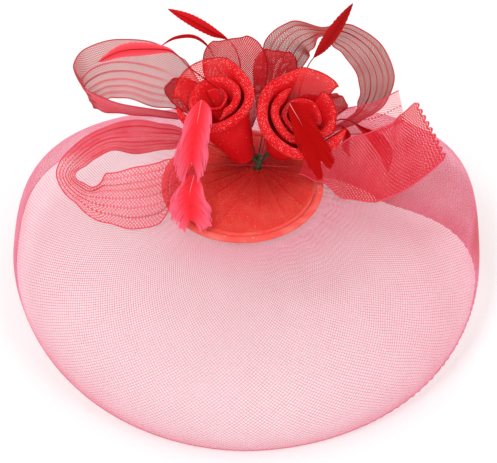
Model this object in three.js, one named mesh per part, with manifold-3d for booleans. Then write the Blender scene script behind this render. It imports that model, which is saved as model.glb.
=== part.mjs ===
// A crinoline fascinator in millimetres, +Z up, with the face side of the wearer towards -Y.
// The origin is the middle of the felt pad's underside, where the headpiece rests on the head.
import * as THREE from 'three';
import { mergeVertices } from 'three/addons/utils/BufferGeometryUtils.js';
import Module from 'manifold-3d';

// Driving dimensions.
const BASE_RADIUS = 52;
const BINDING_WIDTH = 5.2;
const PAD_RADIUS = 32;
const PAD_THICKNESS = 2;
const BRIM_HALF_WIDTH = 153.5;
const BRIM_SHIFT = 2.5;
const BRIM_FRONT_REACH = 150;
const BRIM_BACK_REACH = 118;
const BRIM_BACK_SKEW = 7;
const BRIM_FRONT_DROP = 80;
const BRIM_BACK_DROP = 56;
const BRIM_LIFT = 3.4;
const BRIM_FLAT_RADIUS = 55;
const BRIM_SHEET = 1;
const RIBBON_WIDTH = 36;
const RIBBON_SHEET = 1.1;
const PETAL_SHEET = 0.9;
const QUILL_SHEET = 0.9;
const HACKLE_THICKNESS = 2;
const GAP = 0.3;
const CLIP_LENGTH = 44;
const CLIP_WIDTH = 9;
const CLIP_Y = -15;
const HINGE_X = 13;
const HINGE_Z = -4.6;
const PIN_RADIUS = 0.8;
const CLIP_SHEET = 0.8;

const CORAL = 0xe05346;
const SCARLET = 0xd8141c;
const CRIN_RED = 0xd9343c;
const CRIN_PINK = 0xf2a0a8;
const STEM_GREEN = 0x46552a;
const FELT_RED = 0xc4252b;
const STEEL = 0xb9bcc2;

const wasm = await Module();
wasm.setup();

const vec = (x, y, z) => new THREE.Vector3(x, y, z);
const mix = THREE.MathUtils.lerp;
const smooth = (value, low, high) => THREE.MathUtils.smoothstep(value, low, high);
const radians = THREE.MathUtils.degToRad;

function material(color, roughness, metalness = 0, opacity = 1) {
  return new THREE.MeshStandardMaterial({
    color, roughness, metalness, opacity, transparent: opacity < 1, side: THREE.DoubleSide,
  });
}

const crinPink = material(CRIN_PINK, 0.45, 0, 0.7);
const crinRed = material(CRIN_RED, 0.4);
const coral = material(CORAL, 0.6);
const featherRed = material(SCARLET, 0.7);
const green = material(STEM_GREEN, 0.6);
const felt = material(FELT_RED, 0.95);
const steel = material(STEEL, 0.3, 1);

const group = new THREE.Group();

function add(name, geometry, finish) {
  const mesh = new THREE.Mesh(geometry, finish);
  mesh.name = name;
  group.add(mesh);
  return mesh;
}

// A closed shell of even thickness around the surface that at(u, v) gives for u and v from 0 to 1.
// With ring set, the surface closes on itself along u.
function shell(at, columns, rows, thickness, ring = false) {
  const across = ring ? columns : columns + 1;
  const down = rows + 1;
  const points = [];
  for (let j = 0; j < down; j++) {
    for (let i = 0; i < across; i++) {
      points.push(at(i / columns, j / rows));
    }
  }
  const wrap = (i) => (ring ? (i + across) % across : Math.min(Math.max(i, 0), across - 1));
  const clamp = (j) => Math.min(Math.max(j, 0), down - 1);
  const pointAt = (i, j) => points[clamp(j) * across + wrap(i)];
  const positions = [];
  for (const side of [0.5, -0.5]) {
    for (let j = 0; j < down; j++) {
      for (let i = 0; i < across; i++) {
        const alongU = pointAt(i + 1, j).clone().sub(pointAt(i - 1, j));
        const alongV = pointAt(i, j + 1).clone().sub(pointAt(i, j - 1));
        const normal = alongU.cross(alongV).normalize();
        positions.push(...pointAt(i, j).clone().addScaledVector(normal, side * thickness));
      }
    }
  }
  const under = across * down;
  const index = [];
  const quad = (a, b, c, d) => index.push(a, b, c, a, c, d);
  const steps = ring ? across : across - 1;
  for (let j = 0; j < down - 1; j++) {
    for (let i = 0; i < steps; i++) {
      const a = j * across + i;
      const b = j * across + wrap(i + 1);
      quad(a, b, b + across, a + across);
      quad(under + a, under + a + across, under + b + across, under + b);
    }
  }
  const last = (down - 1) * across;
  for (let i = 0; i < steps; i++) {
    const next = wrap(i + 1);
    quad(i, under + i, under + next, next);
    quad(last + next, under + last + next, under + last + i, last + i);
  }
  if (!ring) {
    for (let j = 0; j < down - 1; j++) {
      const a = j * across;
      const b = a + across - 1;
      quad(a + across, under + a + across, under + a, a);
      quad(b, under + b, under + b + across, b + across);
    }
  }
  const geometry = new THREE.BufferGeometry();
  geometry.setAttribute('position', new THREE.Float32BufferAttribute(positions, 3));
  geometry.setIndex(index);
  geometry.computeVertexNormals();
  return geometry;
}

// A point on the smooth curve through some points, by its share of the way along.
function curve(points) {
  return new THREE.CatmullRomCurve3(points.map((p) => vec(...p)), false, 'centripetal');
}

// A ribbon: its middle runs through stations [x, y, z, across x, y, z, width].
function ribbon(stations, columns, rows) {
  const middle = curve(stations.map((s) => s.slice(0, 3)));
  const share = (u) => {
    const place = u * (stations.length - 1);
    const first = Math.min(Math.floor(place), stations.length - 2);
    return [stations[first], stations[first + 1], smooth(place - first, 0, 1)];
  };
  return shell((u, v) => {
    const [from, to, t] = share(u);
    const before = vec(...from.slice(3, 6)).normalize();
    const across = before.lerp(vec(...to.slice(3, 6)).normalize(), t).normalize();
    const width = mix(from[6], to[6], t);
    return middle.getPoint(u).addScaledVector(across, (v - 0.5) * width);
  }, columns, rows, RIBBON_SHEET);
}

function toSolid(geometry) {
  const bare = geometry.clone();
  bare.deleteAttribute('normal');
  bare.deleteAttribute('uv');
  const merged = mergeVertices(bare, 1e-4);
  return new wasm.Manifold(new wasm.Mesh({
    numProp: 3,
    vertProperties: new Float32Array(merged.attributes.position.array),
    triVerts: new Uint32Array(merged.index.array),
  }));
}

function toGeometry(solid) {
  const { vertProperties, triVerts } = solid.getMesh();
  const geometry = new THREE.BufferGeometry();
  geometry.setAttribute('position', new THREE.Float32BufferAttribute(vertProperties, 3));
  geometry.setIndex(new THREE.Uint32BufferAttribute(triVerts, 1));
  geometry.computeVertexNormals();
  return geometry;
}

// ---------------------------------------------------------------- brim

// How far the brim reaches from its gathered middle, in the direction of angle.
// Its outline is squarer behind than in front.
function brimReach(angle) {
  const behind = Math.sin(angle) > 0;
  const depth = behind ? BRIM_BACK_REACH - BRIM_BACK_SKEW * Math.cos(angle) : BRIM_FRONT_REACH;
  const power = behind ? 2.9 : mix(1.85, 2, 0.5 + 0.5 * Math.cos(angle));
  const x = Math.abs(Math.cos(angle)) / BRIM_HALF_WIDTH;
  const y = Math.abs(Math.sin(angle)) / depth;
  return (x ** power + y ** power) ** (-1 / power);
}

// A point of the brim, share of the way from its gathered middle to its rim. The rim turns under
// most at the back on the +X side, where the brim folds in beneath itself.
function brimPoint(angle, share) {
  const degrees = THREE.MathUtils.radToDeg(angle);
  const tuck = smooth(degrees, -6, 20) * (1 - smooth(degrees, 62, 125));
  const turn = radians(mix(98, 128, tuck));
  const drop = mix(BRIM_BACK_DROP, BRIM_FRONT_DROP, smooth(-Math.sin(angle), -0.5, 1));
  const bend = share * turn;
  const reach = Math.sin(bend) * brimReach(angle);
  const flat = 1 - Math.exp(-((reach / BRIM_FLAT_RADIUS) ** 3));
  const fall = (1 - Math.cos(bend)) / (1 - Math.cos(turn)) * flat;
  const x = reach * Math.cos(angle) + BRIM_SHIFT * Math.sin(bend);
  return vec(x, reach * Math.sin(angle), BRIM_LIFT - (drop + BRIM_LIFT) * fall);
}

function makeBrim() {
  const gather = 0.03;
  const at = (u, v) => brimPoint(mix(-Math.PI, Math.PI, u), mix(gather, 1, v));
  add('brim', shell(at, 44, 13, BRIM_SHEET, true), crinPink);
}

// ---------------------------------------------------------------- base

function turned(profile, segments = 36) {
  const geometry = new THREE.LatheGeometry(profile.map((p) => new THREE.Vector2(...p)), segments);
  geometry.rotateX(Math.PI / 2);
  return geometry;
}

// The disc and its bound edge lie on the brim, and the felt pad lies under it.
function makeBase() {
  const bottom = 4.2;
  const top = 7.6;
  const inner = BASE_RADIUS - BINDING_WIDTH;
  const rim = inner - GAP;
  const disc = [[0, bottom + 0.2], [rim, bottom + 0.2], [rim, 6.4], [28, 7.4], [0, 8]];
  add('base_disc', turned(disc), coral);
  const binding = [
    [inner, bottom], [BASE_RADIUS - 1, bottom], [BASE_RADIUS, bottom + 1], [BASE_RADIUS - 0.6, 7],
    [BASE_RADIUS - 2, top], [inner, top], [inner, bottom],
  ];
  add('base_binding', turned(binding), coral);
  const pad = [
    [0, 0], [6, 0], [12, 0], [PAD_RADIUS, 0], [PAD_RADIUS, PAD_THICKNESS], [0, PAD_THICKNESS],
  ];
  add('felt_pad', turned(pad, 30), felt);
}

// The cover fans out from a collar round the flowers' stems to the binding.
function makeCover() {
  const collar = vec(9.4, 8.4, 15);
  const collarRadius = 4.4;
  const edgeRadius = BASE_RADIUS - BINDING_WIDTH - 1;
  const edgeHeight = 8.6;
  const at = (u, v) => {
    const angle = mix(-Math.PI, Math.PI, u);
    const spread = vec(Math.cos(angle), Math.sin(angle), 0);
    const high = collar.clone().addScaledVector(spread, collarRadius);
    const point = high.lerp(spread.multiplyScalar(edgeRadius), v);
    point.z = mix(collar.z, edgeHeight, Math.sqrt(v));
    return point;
  };
  add('base_cover', shell(at, 32, 4, 0.8, true), crinRed);
}

function makeStemWrap() {
  const path = curve([[9, 7.4, 9.2], [9.7, 8.2, 13], [10.8, 9.4, 17], [12, 11, 21.5]]);
  const round = new THREE.Shape().absarc(0, 0, 2.6, 0, Math.PI * 2);
  const geometry = new THREE.ExtrudeGeometry(round, { steps: 4, extrudePath: path, curveSegments: 8 });
  add('stem_wrap', geometry, green);
}

// ---------------------------------------------------------------- roses

// One rolled petal: a bellied cone of crin that opens from the rose's throat to a rim round its heart.
// It runs between two angles round the rose, and its rim lies sunk below the heart.
function petal(rose, { base, rim, from, to, sink = 0 }) {
  const belly = 0.08;
  const across = rose.facing.clone().cross(vec(0, 0, 1)).normalize().negate();
  const upward = across.clone().cross(rose.facing).negate().normalize();
  const centre = rose.heart.clone().addScaledVector(rose.facing, -sink);
  return shell((u, v) => {
    const angle = radians(mix(from, to, u));
    const spread = across.clone().multiplyScalar(Math.cos(angle));
    spread.addScaledVector(upward, Math.sin(angle));
    const low = rose.throat.clone().addScaledVector(spread, base);
    const high = centre.clone().addScaledVector(spread, rim);
    return low.lerp(high, v).addScaledVector(spread, Math.sin(v * Math.PI) * rim * belly);
  }, 15, 4, PETAL_SHEET);
}

function makeRoses() {
  const left = {
    throat: vec(0, 8.4, 25),
    heart: vec(-18, 23, 61),
    facing: vec(-0.15, -0.45, 0.88).normalize(),
  };
  const right = {
    throat: vec(24, 14, 25),
    heart: vec(38.5, 14.5, 54),
    facing: vec(0.12, -0.5, 0.86).normalize(),
  };
  add('left_rose_outer', petal(left, { base: 7.2, rim: 25, from: -150, to: 195 }), crinRed);
  add('left_rose_middle', petal(left, { base: 3.9, rim: 16.5, from: -60, to: 240, sink: 2 }), crinRed);
  add('left_rose_bud', petal(left, { base: 1.2, rim: 8, from: -170, to: 150, sink: 4 }), crinRed);
  add('right_rose_outer', petal(right, { base: 8.4, rim: 29, from: 30, to: 330 }), crinRed);
  add('right_rose_middle', petal(right, { base: 5.6, rim: 20, from: 100, to: 400, sink: 2 }), crinRed);
  add('right_rose_inner', petal(right, { base: 3.1, rim: 12.5, from: -40, to: 270, sink: 4 }), crinRed);
  add('right_rose_bud', petal(right, { base: 0.9, rim: 6, from: -170, to: 150, sink: 6 }), crinRed);
}

// A free petal: narrow at its root, widest above the middle, with a rounded end.
function leaf(root, middle, tip, half, cup) {
  const spine = curve([root, middle, tip]);
  const side = vec(1, 0, 0);
  const rootShare = 0.16;
  const widest = 0.72;
  return shell((u, v) => {
    const along = spine.getTangent(v);
    const across = side.clone().addScaledVector(along, -side.dot(along)).normalize();
    const outward = across.clone().cross(along).normalize();
    const spread = 2 * u - 1;
    const opening = Math.sin(Math.min(1, v / widest) * Math.PI / 2);
    const swell = mix(rootShare, 1, opening * Math.sqrt(1 - (v * 0.97) ** 6));
    const point = spine.getPoint(v).addScaledVector(across, spread * half * swell);
    return point.addScaledVector(outward, -cup * spread * spread * swell);
  }, 8, 6, RIBBON_SHEET);
}

function makeBackPetals() {
  add('rear_petal_left', leaf([3, 30, 27], [-3, 48, 52], [-8, 57, 79.5], 22, 4), crinRed);
  add('rear_petal_right', leaf([14, 32, 26], [20, 52, 48], [23, 59, 68], 15, 4), crinRed);
  add('side_petal_left', leaf([-16, 34, 24], [-32, 45, 42], [-45, 44, 57], 13, -3), crinRed);
  add('side_petal_right', leaf([28, 31, 24], [47, 40, 38], [64, 38, 48], 14, -3), crinRed);
}

// ---------------------------------------------------------------- ribbons

function makeRibbons() {
  const wide = RIBBON_WIDTH;
  add('loop_left_upper', ribbon([
    [-24, 49, 35, 0, 0.5, 0.8, 16],
    [-40, 54, 44, 0.1, 0.5, 0.8, 34],
    [-58, 57, 50, 0, 0.55, 0.8, 42],
    [-78, 58, 54, -0.1, 0.6, 0.75, 38],
    [-94, 55, 52, -0.35, 0.4, 0.8, wide],
    [-102, 49, 47, -0.3, 0, 0.95, wide],
    [-96, 43, 41, -0.2, -0.4, 0.85, wide],
    [-76, 39, 36, 0, -0.6, 0.78, 32],
    [-56, 38, 33, 0, -0.6, 0.78, 24],
    [-36, 40, 27, 0, -0.5, 0.85, 10],
  ], 27, 2), crinRed);
  add('loop_left_lower', ribbon([
    [-30, 29, 20, 0, 0, 1, 8],
    [-48, 28, 22, 0, 0, 1, 22],
    [-68, 28, 22, 0, 0, 1, 30],
    [-88, 25, 22.5, -0.3, 0.25, 0.9, 17],
    [-106, 17, 14, -0.85, 0.1, 0.5, 16],
    [-113.5, 5, 10, -1, 0, 0.1, 12],
    [-103, -7, 5, -0.75, -0.55, -0.35, 14],
    [-86, -13, 7, -0.05, -0.75, -0.62, 32],
    [-67, -16, 10, -0.05, -0.75, -0.64, 40],
    [-51, -16, 15, -0.1, -0.75, -0.66, 41],
    [-39, -9, 20, -0.2, -0.75, -0.66, 28],
    [-27, 1, 23, -0.2, -0.75, -0.66, 10],
  ], 33, 2), crinRed);
  add('loop_right_upper', ribbon([
    [17, 42, 20, 0.9, 0.3, -0.2, 8],
    [23, 58, 48, 0.92, 0, -0.3, 24],
    [28, 64, 65, 0.9, -0.2, -0.35, 30],
    [37, 66, 75, 0.5, -0.65, -0.3, 24],
    [51, 67, 77, 0, -0.85, 0.3, 16],
    [66, 64, 75, -0.5, -0.7, -0.3, 20],
    [79, 60, 65, -0.85, -0.4, -0.25, 24],
    [87, 58, 46, -0.95, -0.2, 0, 24],
    [85, 57, 27, -0.85, -0.2, 0.35, 20],
    [75, 54, 15, -0.5, -0.2, 0.8, 10],
    [60, 48, 11, 0, -0.2, 0.9, 6],
  ], 30, 2), crinRed);
  add('ribbon_right_front', ribbon([
    [37, 4, 18, 0.3, 0.7, 0.6, 10],
    [52, 6, 17, 0.25, 0.75, 0.6, 22],
    [70, 8, 14, 0.18, 0.76, 0.62, 42],
    [91, 13, 13, 0.12, 0.76, 0.64, 50],
    [108, 24, 16, -0.2, 0.8, 0.58, 46],
    [123, 36, 22, -0.45, 0.75, 0.5, 42],
  ], 18, 3), crinRed);
  add('ribbon_right_back', ribbon([
    [54, 42, 17, 0, 0.5, 0.85, 8],
    [70, 44, 21, 0, 0.6, 0.8, 18],
    [86, 45, 23, 0, 0.65, 0.75, 20],
    [104, 53, 27, -0.2, 0.7, 0.7, 20],
  ], 12, 2), crinRed);
}

// ---------------------------------------------------------------- feathers

// A trimmed quill: a thin bare stem, then a narrow blade that ends in a point.
function quill(points, side, bladeStart, bladeWidth) {
  const spine = curve(points);
  const across = vec(...side).normalize();
  const stem = 1;
  return shell((u, v) => {
    const blade = Math.max(0, (u - bladeStart) / (1 - bladeStart));
    const width = mix(stem, bladeWidth, Math.sin(Math.sqrt(blade) * Math.PI) ** 0.8);
    return spine.getPoint(u).addScaledVector(across, (v - 0.5) * width);
  }, 12, 1, QUILL_SHEET);
}

// A hackle: a fluffy leaf that fans out from its quill and ends ragged.
function hackle(points, side, width) {
  const spine = curve(points);
  const across = vec(...side).normalize();
  const root = 3;
  return shell((u, v) => {
    const spread = mix(root, width, Math.sin(mix(0.1, 0.86, u) * Math.PI));
    return spine.getPoint(u).addScaledVector(across, (v - 0.5) * spread);
  }, 8, 2, HACKLE_THICKNESS);
}

function makeFeathers() {
  add('quill_left_top', quill(
    [[0, 47, 34], [-2, 66, 56], [-8, 71, 66], [-18, 71, 73], [-33, 73, 82], [-48, 77, 88]],
    [0.4, 0.5, 0.75], 0.42, 7.5), featherRed);
  add('quill_left_middle', quill(
    [[-14, 52, 44], [-17, 57, 60], [-21, 62, 67], [-31, 61, 77], [-43, 60, 77], [-53, 62, 69]],
    [0.2, -0.5, 0.8], 0.35, 7), featherRed);
  add('quill_left_loop', quill(
    [[-14, 28, 62], [-24, 33, 67.5], [-34, 38, 73], [-44, 46, 78.5], [-61, 48, 79], [-78, 49, 76],
      [-92, 46, 70]],
    [0, 0.6, 0.8], 0.46, 9), featherRed);
  add('quill_right_top', quill(
    [[33, 40, 26], [38, 46, 54], [43, 49, 67], [50, 52, 75], [59, 57, 87], [70, 63, 104]],
    [0.8, -0.2, -0.5], 0.46, 8.5), featherRed);
  add('quill_right_side', quill(
    [[56, 30, 33], [66, 35, 31], [78, 37, 21], [87, 34, 15], [94, 25, 8], [94, 14, 3]],
    [0.9, 0.2, 0.4], 0.3, 10), featherRed);
  add('quill_right_small', quill(
    [[58, 29, 30], [64, 34, 26], [68, 34, 19], [67, 29, 13], [70, 24, 6]],
    [0.95, 0, 0.2], 0.2, 5.5), featherRed);
  add('hackle_left_upper', hackle(
    [[-25, 10, 70], [-28, -3, 61], [-31, -13, 49], [-32, -21, 37]], [0.97, 0.1, 0.1], 22), featherRed);
  add('hackle_left_lower', hackle(
    [[-30, -17, 31], [-33, -27, 23], [-32, -37, 18], [-31, -45, 14]], [1, 0, 0], 26), featherRed);
  add('hackle_right', hackle(
    [[29, 16, 62], [36.5, 4, 56], [45.5, -8, 45.5], [52.5, -19, 36.5]], [0.7, 0.5, 0.5], 18), featherRed);
}

// ---------------------------------------------------------------- hair clip

function block(width, depth, height, x, y, z) {
  const geometry = new THREE.BoxGeometry(width, depth, height);
  geometry.translate(x, y, z);
  return geometry;
}

function crossRod(radius, length, x, y, z) {
  const geometry = new THREE.CylinderGeometry(radius, radius, length, 16);
  geometry.translate(x, y, z);
  return geometry;
}

// Extrudes a side view, drawn in x and z, to a width along y.
function sideways(outline, width, y) {
  const shape = new THREE.Shape(outline.map((p) => new THREE.Vector2(...p)));
  const geometry = new THREE.ExtrudeGeometry(shape, { depth: width, bevelEnabled: false });
  geometry.rotateX(Math.PI / 2);
  geometry.translate(0, y + width / 2, 0);
  return geometry;
}

// The plate lies against the felt pad, with an ear on each side that holds the hinge pin.
function clipPlate(tip, bore) {
  const top = -GAP;
  const bottom = top - CLIP_SHEET;
  const ear = [
    [HINGE_X - 3, bottom + 0.2], [HINGE_X - 2.2, HINGE_Z - 1.6],
    [HINGE_X + 2.2, HINGE_Z - 1.6], [HINGE_X + 3, bottom + 0.2],
  ];
  const middle = tip + CLIP_LENGTH / 2;
  let plate = toSolid(block(CLIP_LENGTH, CLIP_WIDTH, CLIP_SHEET, middle, CLIP_Y, top - CLIP_SHEET / 2));
  for (const side of [-1, 1]) {
    const y = CLIP_Y + side * (CLIP_WIDTH - CLIP_SHEET) / 2;
    plate = plate.add(toSolid(sideways(ear, CLIP_SHEET, y)));
  }
  return plate.subtract(bore);
}

// The jaw: two prongs from its tip to the hinge, ears round the pin and a thumb lever behind it.
function clipJaw(tip, bore, width) {
  const top = -2 * GAP - CLIP_SHEET;
  const waist = HINGE_Z - 2.05;
  const lever = HINGE_Z - 5.6;
  const slot = 2.2;
  const earSheet = 0.7;
  const side = [
    [tip + 1, top], [tip + 6, top - 1.6], [HINGE_X - 3, waist], [HINGE_X + 3, waist],
    [HINGE_X + 9, lever], [HINGE_X + 9, lever - CLIP_SHEET], [HINGE_X + 3, waist - CLIP_SHEET],
    [HINGE_X - 3, waist - CLIP_SHEET], [tip + 6, top - 1.6 - CLIP_SHEET], [tip + 1, top - CLIP_SHEET],
  ];
  const ear = [
    [HINGE_X - 2.2, waist - 0.25], [HINGE_X - 1.9, HINGE_Z + 1.2], [HINGE_X - 1, HINGE_Z + 1.9],
    [HINGE_X + 1, HINGE_Z + 1.9], [HINGE_X + 1.9, HINGE_Z + 1.2], [HINGE_X + 2.2, waist - 0.25],
  ];
  let jaw = toSolid(sideways(side, width, CLIP_Y));
  jaw = jaw.subtract(toSolid(block(26, slot, 12, tip + 11, CLIP_Y, top - 3)));
  for (const sign of [-1, 1]) {
    jaw = jaw.add(toSolid(sideways(ear, earSheet, CLIP_Y + sign * (width - earSheet) / 2)));
  }
  return jaw.subtract(bore);
}

// The pin's two heads stop it sliding out of the plate's ears.
function clipPin() {
  const head = 0.6;
  const parts = [toSolid(crossRod(PIN_RADIUS, CLIP_WIDTH + 2 * head, HINGE_X, CLIP_Y, HINGE_Z))];
  for (const sign of [-1, 1]) {
    const y = CLIP_Y + sign * (CLIP_WIDTH / 2 + GAP + head / 2);
    parts.push(toSolid(crossRod(PIN_RADIUS + head, head, HINGE_X, y, HINGE_Z)));
  }
  return parts[0].add(parts[1]).add(parts[2]);
}

// The torsion spring: a coil round the pin between the jaw's ears.
function clipSpring(half) {
  const radius = PIN_RADIUS + 0.6;
  const wireRadius = 0.25;
  const turns = 5;
  const steps = turns * 10;
  const points = [];
  for (let i = 0; i <= steps; i++) {
    const angle = (i / steps) * turns * Math.PI * 2;
    const x = HINGE_X + radius * Math.cos(angle);
    const z = HINGE_Z + radius * Math.sin(angle);
    points.push(vec(x, CLIP_Y + mix(-half, half, i / steps), z));
  }
  const wire = new THREE.Shape().absarc(0, 0, wireRadius, 0, Math.PI * 2);
  const extrudePath = new THREE.CatmullRomCurve3(points);
  return new THREE.ExtrudeGeometry(wire, { steps, curveSegments: 3, extrudePath });
}

function makeClip() {
  const tip = HINGE_X + 9 - CLIP_LENGTH;
  const bore = toSolid(crossRod(PIN_RADIUS + GAP, 20, HINGE_X, CLIP_Y, HINGE_Z));
  const jawWidth = CLIP_WIDTH - 2 * (CLIP_SHEET + GAP);
  add('clip_plate', toGeometry(clipPlate(tip, bore)), steel);
  add('clip_jaw', toGeometry(clipJaw(tip, bore, jawWidth)), steel);
  add('clip_pin', toGeometry(clipPin()), steel);
  add('clip_spring', clipSpring(jawWidth / 2 - 1.7), steel);
}

makeBrim();
makeBase();
makeCover();
makeStemWrap();
makeRoses();
makeBackPetals();
makeRibbons();
makeFeathers();
makeClip();

export default group;
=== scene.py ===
import math

import bpy
import numpy as np
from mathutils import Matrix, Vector


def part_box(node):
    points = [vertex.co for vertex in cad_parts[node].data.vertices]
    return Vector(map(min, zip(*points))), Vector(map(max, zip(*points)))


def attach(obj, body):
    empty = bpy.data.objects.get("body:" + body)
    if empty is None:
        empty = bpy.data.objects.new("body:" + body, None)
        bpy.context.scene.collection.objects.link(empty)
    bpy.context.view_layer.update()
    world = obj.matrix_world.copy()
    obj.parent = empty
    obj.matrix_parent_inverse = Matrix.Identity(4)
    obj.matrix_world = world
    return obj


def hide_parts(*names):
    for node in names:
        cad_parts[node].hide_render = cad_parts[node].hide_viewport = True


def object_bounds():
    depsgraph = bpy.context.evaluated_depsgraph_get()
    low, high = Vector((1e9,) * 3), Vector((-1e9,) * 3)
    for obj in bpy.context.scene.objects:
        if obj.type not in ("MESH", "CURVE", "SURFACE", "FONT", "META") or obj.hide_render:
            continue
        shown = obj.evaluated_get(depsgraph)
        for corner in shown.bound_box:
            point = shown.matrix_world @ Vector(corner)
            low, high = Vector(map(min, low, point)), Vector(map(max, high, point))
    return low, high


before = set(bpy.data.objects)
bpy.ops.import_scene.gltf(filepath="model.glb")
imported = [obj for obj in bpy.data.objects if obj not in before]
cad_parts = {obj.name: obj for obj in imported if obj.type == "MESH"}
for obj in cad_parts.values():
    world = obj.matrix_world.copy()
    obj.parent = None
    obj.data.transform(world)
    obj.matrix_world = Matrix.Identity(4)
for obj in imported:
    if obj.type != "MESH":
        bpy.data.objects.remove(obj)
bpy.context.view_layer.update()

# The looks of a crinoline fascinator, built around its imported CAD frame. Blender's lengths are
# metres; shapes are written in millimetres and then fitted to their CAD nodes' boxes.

MM = 0.001
WEAVE = 1.6 * MM
RIM = 45 * MM
CLOTH = "cloth"
DEEP = "deep"
BODY = "headpiece"
# the colour of the painted glints, bright dots that stand for highlights on the threads
PAINTED_GLINT = (1.0, 0.62, 0.6)
HEM = 0.42 * MM


# -------- numbers and curves

def smooth(value, low, high):
    """0 below low, 1 above high, and an even rise between them."""
    t = np.clip((value - low) / (high - low), 0, 1)
    return t * t * (3 - 2 * t)


def mix(a, b, t):
    return a + (b - a) * t


def unit(vectors):
    return vectors / np.linalg.norm(vectors, axis=-1, keepdims=True)


def curve(points):
    """A smooth curve through points, as a function of the share of the way along."""
    inner = np.array(points, float)
    p = np.vstack([2 * inner[0] - inner[1], inner, 2 * inner[-1] - inner[-2]])
    gaps = np.sqrt(np.linalg.norm(np.diff(p, axis=0), axis=1))
    last = len(inner) - 2

    def at(share):
        place = np.clip(share, 0, 1) * (last + 1)
        i = np.minimum(place.astype(int), last)
        t = (place - i)[..., None]
        d0, d1, d2 = (gaps[i + k][..., None] for k in range(3))
        a, b, c, d = (p[i + k] for k in range(4))
        leaving = ((b - a) / d0 - (c - a) / (d0 + d1) + (c - b) / d1) * d1
        arriving = ((c - b) / d1 - (d - b) / (d1 + d2) + (d - c) / d2) * d1
        square = -3 * b + 3 * c - 2 * leaving - arriving
        cube = 2 * b - 2 * c + leaving + arriving
        return b + leaving * t + square * t**2 + cube * t**3

    return at


def fitter(points, node, thickness):
    """A function that moves and scales points so that the given ones fill the node's box.

    They stay half a thickness inside it on every side."""
    low, high = (np.array(corner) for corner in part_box(node))
    low, high = low + thickness / 2, high - thickness / 2
    flat = points.reshape(-1, 3)
    size = flat.max(0) - flat.min(0)
    scale = (high - low) / size
    start = flat.min(0)
    return lambda p: low + (p - start) * scale


def spread(columns, rows):
    """Shares along and across a sheet, as two grids."""
    return np.meshgrid(np.linspace(0, 1, columns), np.linspace(0, 1, rows))


def lengths(points, axis):
    """How far along a grid's lines each of its points is."""
    steps = np.linalg.norm(np.diff(points, axis=axis), axis=-1)
    start = np.zeros_like(np.take(steps, [0], axis=axis))
    return np.concatenate([start, np.cumsum(steps, axis=axis)], axis=axis)


def normals(points):
    along = np.gradient(points, axis=1)
    across = np.gradient(points, axis=0)
    return unit(np.cross(along, across))


# -------- meshes

class Mesh:
    """Gathers grids and tubes into one mesh, with its cloth coordinates in metres."""

    def __init__(self):
        self.points = []
        self.faces = []
        self.cloth = []
        self.slots = []
        self.count = 0

    def grid(self, points, cloth, ring=False, slot=0):
        """A sheet through rows and columns of points. A ring's last column is its first."""
        rows, columns = points.shape[:2]
        kept = points[:, :-1] if ring else points
        index = np.arange(kept.shape[0] * kept.shape[1]).reshape(kept.shape[:2]) + self.count
        if ring:
            index = np.hstack([index, index[:, :1]])
        corners = ((0, 0), (0, 1), (1, 1), (1, 0))
        places = [(slice(j, rows - 1 + j), slice(i, columns - 1 + i)) for j, i in corners]
        self.faces += np.stack([index[p] for p in places], -1).reshape(-1, 4).tolist()
        self.cloth += np.stack([cloth[p] for p in places], -2).reshape(-1, 2).tolist()
        self.slots += [slot] * ((rows - 1) * (columns - 1))
        self.points += kept.reshape(-1, 3).tolist()
        self.count += kept.shape[0] * kept.shape[1]
        return index

    def tube(self, path, radius, sides=8, slot=0):
        """A closed tube along a path, with a radius or one radius for each point."""
        path = np.array(path, float)
        radius = np.broadcast_to(np.array(radius, float), len(path))
        along = unit(np.gradient(path, axis=0))
        side = np.cross(along[0], (0.31, 0.24, 0.92))
        turns = np.linspace(0, 2 * math.pi, sides + 1)
        rings = []
        for place, way, size in zip(path, along, radius):
            side = unit(side - way * side.dot(way))
            up = np.cross(way, side)
            rings.append(place + size * (np.outer(np.cos(turns), side) + np.outer(np.sin(turns), up)))
        run = np.concatenate([[0], np.cumsum(np.linalg.norm(np.diff(path, axis=0), axis=1))])
        cloth = np.stack(np.broadcast_arrays(run[:, None], turns * radius.mean()), -1)
        index = self.grid(np.array(rings), cloth, ring=True, slot=slot)
        for ring, where in ((index[0, :-1][::-1], run[0]), (index[-1, :-1], run[-1])):
            self.faces.append(ring.tolist())
            self.cloth += [[where, 0.0]] * sides
            self.slots.append(slot)
        return index

    def make(self, name, *materials, deep=None):
        """The finished piece. deep says how much closer the threads lie at each point; on the brim it also
        carries a painted shadow under the base.
        """
        mesh = bpy.data.meshes.new(name)
        mesh.from_pydata(self.points, [], self.faces)
        layer = mesh.uv_layers.new(name=CLOTH)
        layer.data.foreach_set("uv", np.array(self.cloth, np.float32).ravel())
        for material in materials:
            mesh.materials.append(material)
        mesh.polygons.foreach_set("material_index", np.array(self.slots, np.int32))
        if deep is not None:
            mesh.attributes.new(DEEP, "FLOAT", "POINT").data.foreach_set("value", deep.ravel())
        mesh.shade_smooth()
        mesh.validate()
        piece = bpy.data.objects.new(name, mesh)
        bpy.context.scene.collection.objects.link(piece)
        return piece


def one_sheet(name, points, cloth, material, ring=False, deep=None):
    mesh = Mesh()
    mesh.grid(points, cloth, ring)
    if deep is not None and ring:
        deep = deep[:, :-1]
    return mesh.make(name, material, deep=deep)


def hem(name, edges, radius, material):
    """Thin bound edges along some lines of points."""
    mesh = Mesh()
    for edge in edges:
        mesh.tube(edge, radius)
    return mesh.make(name, material)


def stands_for(piece, slot, *nodes):
    """The piece rides on the headpiece and replaces the nodes. slot is not used."""
    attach(piece, BODY)
    if nodes:
        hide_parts(*nodes)
    return piece


# -------- materials

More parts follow.
